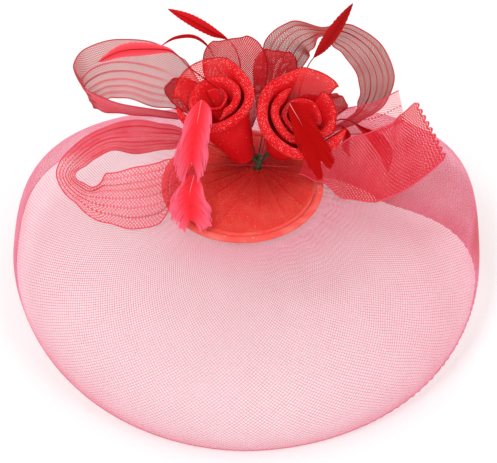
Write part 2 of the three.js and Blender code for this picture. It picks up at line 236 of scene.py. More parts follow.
class Nodes:
    """Writes a material's node tree from the top down."""

    def __init__(self, name):
        self.material = bpy.data.materials.new(name)
        self.material.use_nodes = True
        self.tree = self.material.node_tree
        self.shader = self.tree.nodes["Principled BSDF"]

    def add(self, kind, **settings):
        node = self.tree.nodes.new("ShaderNode" + kind)
        for key, value in settings.items():
            setattr(node, key, value)
        return node

    def link(self, source, target):
        self.tree.links.new(source, target)

    def feed(self, socket, value):
        if isinstance(value, bpy.types.NodeSocket):
            self.link(value, socket)
        else:
            socket.default_value = value

    def maths(self, operation, *values):
        node = self.add("Math", operation=operation)
        for socket, value in zip(node.inputs, values):
            self.feed(socket, value)
        return node.outputs[0]

    def ramp(self, value, low, high, to_low=0.0, to_high=1.0):
        node = self.add("MapRange", interpolation_type="SMOOTHSTEP")
        for socket, given in zip(node.inputs, (value, low, high, to_low, to_high)):
            self.feed(socket, given)
        return node.outputs[0]

    def blend(self, share, a, b):
        node = self.add("Mix", data_type="RGBA", blend_type="MIX")
        for socket, value in ((0, share), (6, a), (7, b)):
            self.feed(node.inputs[socket], value)
        return node.outputs[2]

    def over(self, colour, mask, share, other):
        """The colour with a share of another laid over it where the mask is 1."""
        return self.blend(self.maths("MULTIPLY", mask, share), colour, other)

    def cloth(self):
        """How far along and across the cloth, in metres."""
        place = self.add("UVMap", uv_map=CLOTH).outputs[0]
        parts = self.add("SeparateXYZ")
        self.link(place, parts.inputs[0])
        return place, parts.outputs[0], parts.outputs[1]

    def object_place(self):
        return self.add("TexCoord").outputs["Object"]

    def noise(self, place, scale, detail=2.0, rough=0.5):
        node = self.add("TexNoise")
        self.link(place, node.inputs["Vector"])
        node.inputs["Scale"].default_value = scale
        node.inputs["Detail"].default_value = detail
        node.inputs["Roughness"].default_value = rough
        return node.outputs["Fac"]

    def specks(self, place, size, share):
        """1 on small dots that are scattered over a share of the cells of that size."""
        cells = self.add("TexVoronoi", feature="F1")
        self.link(place, cells.inputs["Vector"])
        cells.inputs["Scale"].default_value = 1 / size
        dot = self.ramp(cells.outputs["Distance"], 0.16, 0.34, 1.0, 0.0)
        chosen = self.add("SeparateColor")
        self.link(cells.outputs["Color"], chosen.inputs[0])
        picked = self.maths("LESS_THAN", chosen.outputs[0], share)
        return self.maths("MULTIPLY", dot, picked)

    def stripes(self, run, pitch):
        """Rises from 0 to 1 and falls back once in every pitch."""
        return self.maths("MULTIPLY", self.maths("PINGPONG", self.maths("DIVIDE", run, pitch), 0.5), 2.0)

    def bump(self, height, distance, strength=0.6):
        node = self.add("Bump")
        node.inputs["Strength"].default_value = strength
        node.inputs["Distance"].default_value = distance
        self.link(height, node.inputs["Height"])
        self.link(node.outputs[0], self.shader.inputs["Normal"])

    def surface(self, colour, roughness, metallic=0.0, specular=0.5):
        self.feed(self.shader.inputs["Base Color"], colour)
        self.feed(self.shader.inputs["Roughness"], roughness)
        self.shader.inputs["Metallic"].default_value = metallic
        self.shader.inputs["Specular IOR Level"].default_value = specular


def rgb(red, green, blue):
    return (red, green, blue, 1.0)


def darker(colour, share):
    return rgb(*(channel * share for channel in colour))


def cross_threads(n, along, across, pitch, share):
    """Two sets of threads on the bias, each 1 on its threads and 0 in the gaps."""
    step = pitch * math.sqrt(2)
    softness = 0.14
    threads = []
    for way in ("ADD", "SUBTRACT"):
        run = n.maths("DIVIDE", n.maths(way, along, across), step)
        from_middle = n.maths("MULTIPLY", n.maths("PINGPONG", run, 0.5), 2.0)
        threads.append(n.ramp(from_middle, share - softness, share + softness, 1.0, 0.0))
    return threads


def thread_layers(n, across, near):
    """How many layers of threads the eye looks through: more at a slant and where they draw in, which on
    the brim also lays a painted shadow under the base.
    """
    facing = n.add("LayerWeight")
    facing.inputs["Blend"].default_value = 0.5
    slant = n.maths("MAXIMUM", n.maths("SUBTRACT", 1.0, facing.outputs["Facing"]), 0.16)
    closer = n.add("Attribute", attribute_name=DEEP).outputs["Fac"]
    layers = n.maths("ADD", n.maths("DIVIDE", 1.0, slant), closer)
    if near:
        layers = n.maths("ADD", layers, n.ramp(across, 0.0, near, 2.2, 0.0))
    return layers, closer


def thread_cover(n, threads, layers, opacity, share):
    """How much of what lies behind is covered: the nearest threads, then the average of more."""
    clear = [n.maths("SUBTRACT", 1.0, n.maths("MULTIPLY", one, opacity)) for one in threads]
    nearest = n.maths("MULTIPLY", *clear)
    further = n.maths("POWER", (1 - share * opacity) ** 2, n.maths("SUBTRACT", layers, 1.0))
    return n.maths("SUBTRACT", 1.0, n.maths("MULTIPLY", nearest, further))


def painted_glints(n, place, across, glitter, shine):
    """Painted highlights: small bright dashes of painted glint, thickest on the crest of a roll."""
    dash = n.add("VectorMath", operation="MULTIPLY")
    n.link(place, dash.inputs[0])
    dash.inputs[1].default_value = (1.0, 0.5, 1.0)
    many = n.ramp(across, shine, shine + 6 * MM, glitter, 0.6) if shine else glitter
    return n.specks(dash.outputs[0], 0.44 * MM, many)


def crin(name, thread, light, opacity, share=0.42, pitch=WEAVE, glitter=0.02, rough=0.34,
         gloss=0.1, shade=None, near=None, shine=None, fold=None, folded=(0.0, 1.0), gap_shade=None):
    """Crinoline: shiny see-through threads that cross on the bias.

    opacity is one thread's, and share is how much of the pitch it takes. shade is the two
    distances from the gathered side between which a painted shade, a darker red, gives way
    to the thread's colour, and near is how far the closer threads reach from that side. shine
    is how far from it the crest of the roll begins, where the painted glints gather. fold is
    the colour that comes in where the threads lie closer, between the two amounts that folded
    gives (on the brim it also darkens the painted shadow under the base), and gap_shade is how
    much painted shade darkens the layers seen between the threads."""
    n = Nodes(name)
    place, along, across = n.cloth()
    threads = cross_threads(n, along, across, pitch, share)
    crossing = n.maths("MULTIPLY", *threads)
    layers, closer = thread_layers(n, across, near)
    dot = painted_glints(n, place, across, glitter, shine)
    cover = thread_cover(n, threads, layers, opacity, share)
    # the painted glints are also made nearly opaque
    n.link(n.maths("MAXIMUM", cover, n.maths("MULTIPLY", dot, 0.8)), n.shader.inputs["Alpha"])
    colour = n.blend(n.ramp(n.noise(place, 60.0), 0.3, 0.7), rgb(*thread), rgb(*light))
    colour = n.over(colour, crossing, 0.3, darker(thread, 0.6))
    # painted shade: a darker red towards the gathered side, for the shade inside each rose's cup and round
    # the cover's collar under the roses
    if shade:
        colour = n.blend(n.ramp(across, *shade, 1.0, 0.0), colour, darker(thread, 0.76))
    if fold:
        colour = n.blend(n.ramp(closer, *folded), colour, rgb(*fold))
    if gap_shade:
        # painted shade: the layers seen between the threads are darkened as if they lay in shadow
        gap = n.maths("SUBTRACT", 1.0, n.maths("MAXIMUM", *threads))
        colour = n.over(colour, gap, gap_shade, darker(thread, 0.5))
    # painted highlight: the glint dots are laid into the colour
    colour = n.over(colour, dot, 0.65, rgb(*PAINTED_GLINT))
    n.surface(colour, rough, specular=gloss)
    height = n.maths("ADD", n.maths("MAXIMUM", *threads), n.maths("MULTIPLY", crossing, 0.5))
    n.bump(height, 0.15 * MM)
    return n.material


def bound_edge(name, colour, light, alpha=0.85):
    """The doubled crinoline or thread of a hem: ribbed across, and nearly solid."""
    n = Nodes(name)
    _, along, _ = n.cloth()
    rib = n.stripes(along, 0.9 * MM)
    tint = n.over(rgb(*colour), rib, 0.6, rgb(*light))
    n.surface(tint, 0.4, specular=0.08)
    n.shader.inputs["Alpha"].default_value = alpha
    n.bump(rib, 0.1 * MM)
    return n.material


def woven(name, colour, light, pitch, glitter, rough=0.55):
    """A close fabric with a plain weave, and scattered dots of painted glint for highlights."""
    n = Nodes(name)
    place, along, across = n.cloth()
    height = n.maths("MAXIMUM", n.stripes(along, pitch), n.stripes(across, pitch))
    cloud = n.noise(place, 90.0, 3.0)
    tint = n.blend(n.ramp(cloud, 0.35, 0.7), rgb(*colour), rgb(*light))
    tint = n.over(tint, n.maths("SUBTRACT", 1.0, height), 0.3, darker(colour, 0.6))
    dot = n.specks(place, 1.6 * MM, glitter)
    # painted highlight: bright glint dots laid into the fabric's colour
    tint = n.over(tint, dot, 0.7, rgb(1.0, 0.62, 0.5))
    n.surface(tint, rough, specular=0.06)
    n.bump(height, 0.12 * MM)
    return n.material


def plume(name, root, tip, lines, rough=0.5, gloss=0.15):
    """Feather barbs: fine lines from the quill outwards, lighter towards their tips."""
    n = Nodes(name)
    place, along, across = n.cloth()
    share = n.ramp(across, 0.0, 1.0)
    streak = n.noise(place, 700.0, 2.0)
    line = n.stripes(along, lines)
    tint = n.blend(share, rgb(*root), rgb(*tip))
    tint = n.over(tint, line, 0.25, darker(root, 0.6))
    tint = n.blend(n.ramp(streak, 0.45, 0.75, 0.0, 0.3), tint, rgb(*tip))
    n.surface(tint, rough, specular=gloss)
    n.bump(line, 0.08 * MM, 0.5)
    return n.material


def felted(name, colour, light):
    n = Nodes(name)
    place = n.object_place()
    fine = n.noise(place, 1800.0, 4.0, 0.7)
    broad = n.noise(place, 160.0, 3.0)
    tint = n.blend(n.ramp(broad, 0.3, 0.7), rgb(*colour), rgb(*light))
    n.surface(tint, 0.95, specular=0.2)
    n.bump(fine, 0.3 * MM, 0.8)
    return n.material


def tape(name, colour, light):
    """Crepe tape round the stems: fine wrinkles across it."""
    n = Nodes(name)
    place = n.object_place()
    crease = n.noise(place, 900.0, 3.0, 0.7)
    tint = n.blend(n.ramp(crease, 0.35, 0.65), rgb(*colour), rgb(*light))
    n.surface(tint, 0.6)
    n.bump(crease, 0.2 * MM, 0.8)
    return n.material


def steel(name):
    """Brushed spring steel, with fine lines along the clip."""
    n = Nodes(name)
    stretch = n.add("Mapping")
    stretch.inputs["Scale"].default_value = (60.0, 2600.0, 2600.0)
    n.link(n.object_place(), stretch.inputs["Vector"])
    brush = n.noise(stretch.outputs[0], 1.0, 4.0, 0.6)
    tint = n.blend(brush, rgb(0.42, 0.43, 0.45), rgb(0.72, 0.73, 0.75))
    n.surface(tint, n.ramp(brush, 0.2, 0.8, 0.22, 0.42), metallic=1.0)
    n.bump(brush, 0.02 * MM, 0.3)
    return n.material


# -------- brim

def brim_surface(angle, share):
    """The brim from its gathered middle, share 0, to its rim, share 1.

    It is squarer behind than in front, and turns under most at the back on the +X side."""
    east, north = np.cos(angle), np.sin(angle)
    behind = north > 0
    depth = np.where(behind, 118 - 7 * east, 150)
    power = np.where(behind, 2.9, mix(1.85, 2, 0.5 + 0.5 * east))
    reach = (np.abs(east / 153.5) ** power + np.abs(north / depth) ** power) ** (-1 / power)
    degrees = np.degrees(angle)
    tuck = smooth(degrees, -8, 30) * (1 - smooth(degrees, 62, 125))
    turn = np.radians(mix(98, 138, tuck))
    drop = mix(56, 80, smooth(-north, -0.5, 1))
    bend = share * turn
    out = np.sin(bend) * reach
    flat = 1 - np.exp(-((out / 55) ** 3))
    fall = (1 - np.cos(bend)) / (1 - np.cos(turn)) * flat
    return np.stack([out * east + 2.5 * np.sin(bend), out * north, 3.4 - (drop + 3.4) * fall], -1)


def make_brim(material, edge_material):
    around = 360
    threads = 320
    angle = np.linspace(-math.pi, math.pi, around + 1)
    share = np.concatenate([
        np.linspace(0.03, 0.22, 12, endpoint=False),
        np.linspace(0.22, 0.46, 110, endpoint=False),
        np.linspace(0.46, 1, 75),
    ])
    angle, share = np.meshgrid(angle, share)
    plain = brim_surface(angle, share)
    place = fitter(plain, "brim", 1 * MM)(plain)
    out = np.hypot(place[..., 0], place[..., 1])
    degrees = np.degrees(angle)
    ripple_pitch, ripple_height, pucker_height, crimp_height = 2.9 * MM, 0.75 * MM, 0.22 * MM, 0.5 * MM
    folds = out / ripple_pitch + 0.35 * np.sin(degrees / 6) + 0.2 * np.sin(degrees / 2.3 + out * 90)
    ripple = np.sin(folds * 2 * math.pi)
    where = smooth(out, 0.05, 0.056) * (1 - smooth(out, 0.062, 0.1))
    side = smooth(degrees, -100, -40) * (1 - smooth(degrees, 10, 40))
    place[..., 2] += ripple_height * ripple * where * side
    pucker = np.sin(np.radians(degrees) * 64 + 2 * np.sin(np.radians(degrees) * 5))
    place[..., 2] += pucker_height * pucker * (1 - smooth(out, 0.05, 0.09))
    crimp = np.sin(np.radians(degrees) * 150 + share * 60)
    rolled = smooth(share, 0.9, 0.97) * smooth(np.cos(np.radians(degrees + 5)), 0.3, 0.9)
    inward = -place * (1, 1, 0) / np.maximum(out, 1 * MM)[..., None]
    place += inward * (crimp_height * crimp * rolled)[..., None]
    bunched = 1.1 * (0.5 + 0.5 * ripple) ** 2 * where * side
    sideways = np.abs(np.cos(np.radians(degrees - 10))) ** 2
    # near the middle the threads are partly drawn in at the gathered centre and partly thickened as a
    # painted shadow under the base
    deep = bunched + 1.2 * (1 - smooth(out, 0.05, 0.078))
    deep += 1.3 * smooth(share, 0.9, 1) * (0.2 + sideways)
    deep += 0.5 * (0.5 + 0.5 * crimp) * rolled
    under = smooth(share, 0.66, 0.78) * smooth(np.sin(np.radians(degrees)), -0.35, 0.1)
    deep += under * (1.1 + 2.0 * smooth(np.cos(np.radians(degrees)), -0.2, 0.6))
    deep += 0.6 * smooth(place[..., 0], 0.02, 0.15)
    run = lengths(place, 0)
    turn = angle * threads * WEAVE * math.sqrt(2) / (2 * math.pi)
    cloth = np.stack([turn, run], -1)
    brim = one_sheet("crin_brim", place, cloth, material, ring=True, deep=deep)
    stands_for(brim, "crin_pink", "brim")
    edge = Mesh()
    edge.tube(place[-1], 0.3 * MM, sides=6)
    edge = stands_for(edge.make("brim_edge", edge_material), "crin_pink")


# -------- base

def lathed(profile, columns, node):
    """Turns a profile of [radius, height] points, fitted to a node's box."""
    profile = np.array(profile, float)
    turn = np.linspace(0, 2 * math.pi, columns + 1)
    radius = profile[:, 0][:, None]
    points = np.stack(np.broadcast_arrays(
        radius * np.cos(turn), radius * np.sin(turn), profile[:, 1][:, None]), -1)
    return fitter(points, node, 0)(points)


def rounded(profile, steps):
    """A profile with points added along its sides."""
    parts = []
    for start, end in zip(profile[:-1], profile[1:]):
        parts += [mix(np.array(start, float), np.array(end, float), k / steps) for k in range(steps)]
    return parts + [np.array(profile[-1], float)]


def make_disc(material):
    corners = [[0.01, 4.4], [46.5, 4.4], [46.5, 6.4], [38, 6.9], [28, 7.4], [14, 7.85], [0.01, 8]]
    points = lathed(rounded(corners, 6), 120, "base_disc")
    disc = one_sheet("disc_of_cloth", points, points[..., :2].copy(), material, ring=True)
    return stands_for(disc, "coral_fabric", "base_disc")


def make_binding(material, stitch_material):
    """The bound edge: a band that rolls round the rim, a little uneven where it is stretched."""
    turn = np.linspace(0, 2 * math.pi, 241)
    section = np.linspace(0, 2 * math.pi, 33)
    turn, section = np.meshgrid(turn, section)
    wobble = 0.25 * np.sin(turn * 9) + 0.18 * np.sin(turn * 23 + 1)
    radius = 49.4 + (2.6 + 0.1 * wobble) * np.cos(section)
    height = 5.9 + 1.7 * np.sin(section) + 0.12 * wobble * np.sin(section)
    points = np.stack([radius * np.cos(turn), radius * np.sin(turn), height], -1)
    points = fitter(points, "base_binding", 0.1 * MM)(points)
    cloth = np.stack([turn * 0.047 + section * 0.002, section * 0.0026], -1)
    band = one_sheet("bound_edge_band", points, cloth, material, ring=True)
    stands_for(band, "coral_binding", "base_binding")
    top = points[8]
    stitches = Mesh()
    for start in range(2, 238, 4):
        piece = top[start:start + 3].copy()
        piece[:, 2] += 0.1 * MM
        inward = unit(piece * (1, 1, 0)) * 2.0 * MM
        stitches.tube(piece - inward, 0.16 * MM, sides=6)
    stands_for(stitches.make("edge_stitches", stitch_material), "coral_binding")


def make_cover(material):
    """The fan of crinoline over the disc, pleated in towards the flowers' stems."""
    turn, share = spread(481, 40)
    angle = mix(-math.pi, math.pi, turn)
    collar, edge = np.array([9.4, 8.4, 15.0]), 45.8
    pleats = 15
    place = angle * pleats / (2 * math.pi) + 0.35 * np.sin(angle * 2 + 0.6)
    part = place - np.floor(place) - 0.5
    fold = np.exp(-((part / 0.16) ** 2))
    strength = 1 - smooth(share, 0.35, 1.0) * 0.7
    slip = -0.35 * np.sin(np.clip(part / 0.3, -1, 1) * math.pi) * strength / pleats * 2.2
    angle = angle + slip
    ray = np.stack([np.cos(angle), np.sin(angle), np.zeros_like(angle)], -1)
    high = collar + ray * 4.4
    low = ray * edge
    points = mix(high, low, share[..., None])
    points[..., 2] = mix(15, 8.6, np.sqrt(share)) + fold * strength * (0.5 + 1.5 * smooth(share, 0, 0.4))
    points = fitter(points, "base_cover", 0.3 * MM)(points)
    run = lengths(points, 0)
    cloth = np.stack([angle * 0.055, run], -1)
    cover = one_sheet("pleated_cover", points, cloth, material, ring=True)
    stands_for(cover, "crin_red", "base_cover")


def make_pad(material):
    """The felt pad under the disc, with softly rounded edges."""
    corners = [[0.01, 0], [30.6, 0], [31.6, 0.3], [32, 1], [31.6, 1.7], [30.6, 2], [0.01, 2]]
    points = lathed(rounded(corners, 5), 96, "felt_pad")
    pad = one_sheet("felt_disc", points, points[..., :2].copy(), material, ring=True)
    stands_for(pad, "felt", "felt_pad")


def make_stem_wrap(material):
    """Crepe tape wound round the bundle of stems."""
    spine = curve([[9, 7.4, 9.2], [9.7, 8.2, 13], [10.8, 9.4, 17], [12, 11, 21.5]])
    turn, share = spread(49, 60)
    turns = turn * 2 * math.pi
    winding = (share * 6 + turn) % 1
    radius = 2.2 + 0.3 * winding + 0.12 * np.sin(turns * 3)
    middle = spine(share)
    across = np.array([0.98, 0.1, 0.0])
    upward = np.array([-0.1, 0.9, -0.3])
    points = middle + radius[..., None] * (
        np.cos(turns)[..., None] * across + np.sin(turns)[..., None] * upward)
    points = fitter(points, "stem_wrap", 0)(points)
    wrap = Mesh()
    index = wrap.grid(points, np.stack([turn, share], -1), ring=True)
    for ring in (index[0, :-1][::-1], index[-1, :-1]):
        wrap.faces.append(ring.tolist())
        wrap.cloth += [[0.0, 0.0]] * len(ring)
        wrap.slots.append(0)
    stands_for(wrap.make("stem_tape", material), "stem_tape", "stem_wrap")


# -------- roses

def rose_frame(throat, heart, facing):
    facing = unit(np.array(facing, float))
    across = -unit(np.cross(facing, (0, 0, 1)))
    upward = -np.cross(across, facing)
    return np.array(throat, float), np.array(heart, float), facing, across, upward


def petal_surface(rose, base, rim, start, end, sink, turn, share):
    """A bellied cone from the rose's throat to its rim, between two angles round the rose."""
    throat, heart, facing, across, upward = rose
    angle = np.radians(mix(start, end, turn))[..., None]
    rim = np.broadcast_to(rim, turn.shape)[..., None]
    ray = np.cos(angle) * across + np.sin(angle) * upward
    low = throat + ray * base
    high = heart + ray * rim - facing * sink
    share = share[..., None]
    belly = np.sin(share * math.pi) * rim * 0.08
    return mix(low, high, share) + ray * belly, ray, unit(high - low)


def make_petal(name, rose, base, rim, start, end, material, edge_material, sink=0, roll=2.7,
               flare=None, loose=1.9):
    """A rose petal whose rim rolls outwards into a soft tube, within its CAD solid's reach.

    Between the two shares round it that flare gives, the rim opens out flat instead, and
    loose says how closely the threads lie there."""
    turn, share = spread(60, 20)
    plain, _, _ = petal_surface(rose, base, rim, start, end, sink, turn, share)
    place = fitter(plain, name, 0.9 * MM)
    columns, cone, rolled = 140, 40, 34
    turn, row = np.meshgrid(np.linspace(0, 1, columns), np.arange(cone + rolled))
    open_part = np.zeros_like(turn)
    if flare:
        low, high = flare
        open_part = smooth(turn, low - 0.1, low + 0.04) * (1 - smooth(turn, high - 0.04, high + 0.1))
    share = np.clip(row / (cone - 1), 0, 1)
    wave = 0.5 * np.sin(turn * 17 + base) + 0.35 * np.sin(turn * 31 + rim)
    ends = 1 - smooth(np.abs(turn - 0.5), 0.42, 0.5) * 0.7
    size = roll * ends
    narrowed = rim - 1.7 * size * (1 - open_part) - 3 * open_part
    wall, ray, slope = petal_surface(rose, base, narrowed, start, end, sink + roll * 0.4, turn, share)
    wall += ray * (wave * share**2 * 0.5)[..., None]
    outward = unit(ray - slope * np.sum(ray * slope, -1, keepdims=True))
    part = np.clip((row - cone + 1) / rolled, 0, 1)
    curl = np.radians(mix(330, 50, open_part))
    reach = mix(size * math.radians(300), 5, open_part)
    bend = curl * part**1.15
    step = reach * np.diff(part, axis=0, prepend=0)
    ahead = np.cumsum(step * np.cos(bend), axis=0)
    aside = np.cumsum(step * np.sin(bend), axis=0)
    wall += ahead[..., None] * slope + aside[..., None] * outward
    points = place(wall)
    run = lengths(points, 0)
    cloth = np.stack([lengths(points, 1).mean(0, keepdims=True).repeat(len(points), 0),
                      run - run[cone - 1] + RIM], -1)
    deep = 2.8 - (2.8 - loose) * open_part * smooth(share, 0.3, 0.9)
    petal = one_sheet(name + "_petal", points, cloth, material, deep=deep)
    stands_for(petal, "crin_red", name)
    shown = [points[:, 0], points[:, -1]]
    if flare:
        shown.append(points[-1])
    edge = stands_for(hem(name + "_edge", shown, 0.4 * MM, edge_material), "crin_red")


def make_roses(material, edge_material):
    left = rose_frame((0, 8.4, 25), (-18, 23, 61), (-0.15, -0.45, 0.88))
    right = rose_frame((24, 14, 25), (38.5, 14.5, 54), (0.12, -0.5, 0.86))
    looks = {"material": material, "edge_material": edge_material}
    make_petal("left_rose_outer", left, 7.2, 25, -150, 195, roll=3.4, flare=(0.7, 1.0), loose=0.1,
               **looks)
    make_petal("left_rose_middle", left, 3.9, 16.5, -60, 240, sink=2, roll=2.9, **looks)
    make_petal("left_rose_bud", left, 1.2, 8, -170, 150, sink=4, roll=1, **looks)
    make_petal("right_rose_outer", right, 8.4, 29, 30, 330, roll=3.7, flare=(0.0, 0.16), **looks)
    make_petal("right_rose_middle", right, 5.6, 20, 100, 400, sink=2, roll=3, flare=(0.75, 1.0), **looks)
    make_petal("right_rose_inner", right, 3.1, 12.5, -40, 270, sink=4, roll=1.7, **looks)
    make_petal("right_rose_bud", right, 0.9, 6, -170, 150, sink=6, roll=0.8, **looks)


def make_leaf(name, root, middle, tip, half, cup, material, edge_material):
    """A free petal behind the roses: narrow at its root and rounded at its tip."""
    turn, share = spread(61, 70)
    spine = curve([root, middle, tip])
    here = spine(share)
    along = unit(np.gradient(here, axis=0))
    side = np.array([1.0, 0, 0])
    across = unit(side - along * np.sum(along * side, -1, keepdims=True))
    outward = np.cross(across, along)
    opening = np.sin(np.minimum(1, share / 0.72) * math.pi / 2)
    swell = mix(0.16, 1, opening * np.sqrt(1 - (share * 0.97) ** 6))
    lean = 2 * turn - 1
    plain = here + across * (lean * half * swell)[..., None]
    plain = plain - outward * (cup * lean * lean * swell)[..., None]
    place = fitter(plain, name, 1.1 * MM)
    ruffle = 0.6 * np.sin(turn * 22 + half) * (1 - share) + 0.8 * np.sin(turn * 9) * share**3
    points = place(plain + outward * ruffle[..., None])
    cloth = np.stack([lengths(points, 0), (lean * half * MM)], -1)
    leaf = one_sheet(name + "_crin", points, cloth, material)
    stands_for(leaf, "crin_red", name)
    outline = np.concatenate([points[:, 0], points[-1, 1:-1], points[::-1, -1]])
    edge = stands_for(hem(name + "_edge", [outline], HEM, edge_material), "crin_red")


def make_back_petals(material, edge_material):
    leaves = {
        "rear_petal_left": ([3, 30, 27], [-3, 48, 52], [-8, 57, 79.5], 22, 4),
        "rear_petal_right": ([14, 32, 26], [20, 52, 48], [23, 59, 68], 15, 4),
        "side_petal_left": ([-16, 34, 24], [-32, 45, 42], [-45, 44, 57], 13, -3),
        "side_petal_right": ([28, 31, 24], [47, 40, 38], [64, 38, 48], 14, -3),
    }
    for name, shape in leaves.items():
        make_leaf(name, *shape, material, edge_material)


# -------- ribbons

def ribbon_surface(stations, along, across):
    """A ribbon whose middle runs through stations [x, y, z, across x, y, z, width]."""
    stations = np.array(stations, float)
    middle = curve(stations[:, :3])(along)
    sides = unit(stations[:, 3:6])
    place = along * (len(stations) - 1)
    first = np.minimum(place.astype(int), len(stations) - 2)
    t = smooth(place - first, 0, 1)
    side = unit(mix(sides[first], sides[first + 1], t[..., None]))
    width = mix(stations[first, 6], stations[first + 1, 6], t)
    return middle + side * (across * width)[..., None], side, width


def pleat_shares(pleats, rows):
    """Shares across a ribbon, closer together at its pleats."""
    shares = [np.linspace(0, 1, rows)]
    for pleat in pleats:
        shares.append(np.linspace(pleat - 0.034, pleat + 0.034, 11))
    return np.unique(np.clip(np.concatenate(shares), 0, 1).round(5))


def make_ribbon(name, material, edge_material, slot, pleats=(), depth=0.45, fade=None,
                columns=180, rows=21, scallops=0, closer=None):
    """A crinoline ribbon with pleats folded along it.

    fade gives the shares along it between which the pleats come in and go out. closer gives
    two shares along it between which the threads draw together, and by how much."""
    stations = RIBBONS[name]
    along, across = spread(40, 5)
    plain, _, _ = ribbon_surface(stations, along, across - 0.5)
    place = fitter(plain, name, 1.1 * MM)
    shares = pleat_shares(pleats, rows)
    along, across = np.meshgrid(np.linspace(0, 1, columns), shares)
    held = np.ones_like(along)
    if fade:
        held = smooth(along, *fade[0]) * (1 - smooth(along, *fade[1]))
    shifted = across - 0.5
    lift = np.zeros_like(across)
    deep = np.zeros_like(across)
    _, _, width = ribbon_surface(stations, along, shifted)
    for count, pleat in enumerate(pleats):
        part = np.clip((across - pleat) / 0.03, -1, 1)
        wander = 0.004 * np.sin(along * 9 + count * 2)
        shifted = shifted - depth / width * np.sin(part * math.pi) * held + wander * (1 - np.abs(part))
        fold = np.cos(part * math.pi / 2) * held
        lift += 0.35 * fold * (1 if count % 2 else -1)
        deep += fold
    if scallops:
        bite = 1 - np.abs(np.sin(across * math.pi * scallops))
        along = along * (1 - 0.03 * bite * smooth(along, 0.8, 1))
    wall, _, _ = ribbon_surface(stations, along, shifted)
    facing = normals(wall)
    wall = wall + facing * (lift + 0.35 * np.sin(across * 7 + along * 11))[..., None]
    points = place(wall)
    cloth = np.stack([lengths(points, 1).mean(0, keepdims=True).repeat(len(points), 0),
                      np.broadcast_to((shares * 0.036)[:, None], along.shape)], -1)
    if closer:
        start, end, amount = closer
        deep += amount * smooth(along, start, end)
    ribbon = one_sheet(name + "_crin", points, cloth, material, deep=deep)
    stands_for(ribbon, slot, name)
    edges = [points[0], points[-1]]
    if scallops:
        edges.append(points[:, -1])
    edge = stands_for(hem(name + "_edge", edges, HEM, edge_material), slot)


WIDE = 36
RIBBONS = {
    "loop_left_upper": [
        [-24, 49, 35, 0, 0.5, 0.8, 16], [-40, 54, 44, 0.1, 0.5, 0.8, 34],
        [-58, 57, 50, 0, 0.55, 0.8, 42], [-78, 58, 54, -0.1, 0.6, 0.75, 38],
        [-94, 55, 52, -0.35, 0.4, 0.8, WIDE], [-102, 49, 47, -0.3, 0, 0.95, WIDE],
        [-96, 43, 41, -0.2, -0.4, 0.85, WIDE], [-76, 39, 36, 0, -0.6, 0.78, 32],
        [-56, 38, 33, 0, -0.6, 0.78, 24], [-36, 40, 27, 0, -0.5, 0.85, 10],
    ],
    "loop_left_lower": [
        [-30, 29, 20, 0, 0, 1, 8], [-48, 28, 22, 0, 0, 1, 22],
        [-68, 28, 22, 0, 0, 1, 30], [-88, 25, 22.5, -0.3, 0.25, 0.9, 17],
        [-106, 17, 14, -0.85, 0.1, 0.5, 16], [-113.5, 5, 10, -1, 0, 0.1, 12],
        [-103, -7, 5, -0.75, -0.55, -0.35, 14], [-86, -13, 7, -0.05, -0.75, -0.62, 32],
        [-67, -16, 10, -0.05, -0.75, -0.64, 40], [-51, -16, 15, -0.1, -0.75, -0.66, 41],
        [-39, -9, 20, -0.2, -0.75, -0.66, 28], [-27, 1, 23, -0.2, -0.75, -0.66, 10],
    ],
    "loop_right_upper": [
        [17, 42, 20, 0.9, 0.3, -0.2, 8], [23, 58, 48, 0.92, 0, -0.3, 24],
        [28, 64, 65, 0.9, -0.2, -0.35, 30], [37, 66, 75, 0.5, -0.65, -0.3, 24],
        [51, 67, 77, 0, -0.85, 0.3, 16], [66, 64, 75, -0.5, -0.7, -0.3, 20],
        [79, 60, 65, -0.85, -0.4, -0.25, 24], [87, 58, 46, -0.95, -0.2, 0, 24],
        [85, 57, 27, -0.85, -0.2, 0.35, 20], [75, 54, 15, -0.5, -0.2, 0.8, 10],
        [60, 48, 11, 0, -0.2, 0.9, 6],
    ],
    "ribbon_right_front": [
        [37, 4, 18, 0.3, 0.7, 0.6, 10], [52, 6, 17, 0.25, 0.75, 0.6, 22],
        [70, 8, 14, 0.18, 0.76, 0.62, 42], [91, 13, 13, 0.12, 0.76, 0.64, 50],
        [108, 24, 16, -0.2, 0.8, 0.58, 46], [123, 36, 22, -0.45, 0.75, 0.5, 42],
    ],
    "ribbon_right_back": [
        [54, 42, 17, 0, 0.5, 0.85, 8], [70, 44, 21, 0, 0.6, 0.8, 18],
        [86, 45, 23, 0, 0.65, 0.75, 20], [104, 53, 27, -0.2, 0.7, 0.7, 20],
    ],
}


def make_ribbons(grey, dusky, rosy, raspberry, edge_grey, edge_rosy):
    make_ribbon("loop_left_upper", grey, edge_grey, "crin_ribbon",
                pleats=(0.1, 0.2, 0.32, 0.46, 0.62), fade=((0.02, 0.3), (0.62, 0.8)),
                closer=(0.55, 0.75, 0.9))
    make_ribbon("loop_left_lower", rosy, edge_rosy, "crin_ribbon",
                pleats=(0.12, 0.24, 0.36, 0.5, 0.66, 0.82), closer=(0.42, 0.3, 2.2))
    make_ribbon("loop_right_upper", dusky, edge_grey, "crin_ribbon",
                pleats=(0.16, 0.32, 0.5, 0.68, 0.84))
    make_ribbon("ribbon_right_front", raspberry, edge_rosy, "crin_ribbon",
                scallops=9, columns=140, rows=91)
    make_ribbon("ribbon_right_back", rosy, edge_rosy, "crin_ribbon",
                pleats=(0.5,), columns=80)


# -------- feathers

def quill_width(share, start, width, stem=1.0, peak=0.5):
    blade = np.clip((share - start) / (1 - start), 0, 1)
    return mix(stem, width, np.sin(blade**peak * math.pi) ** 0.8)


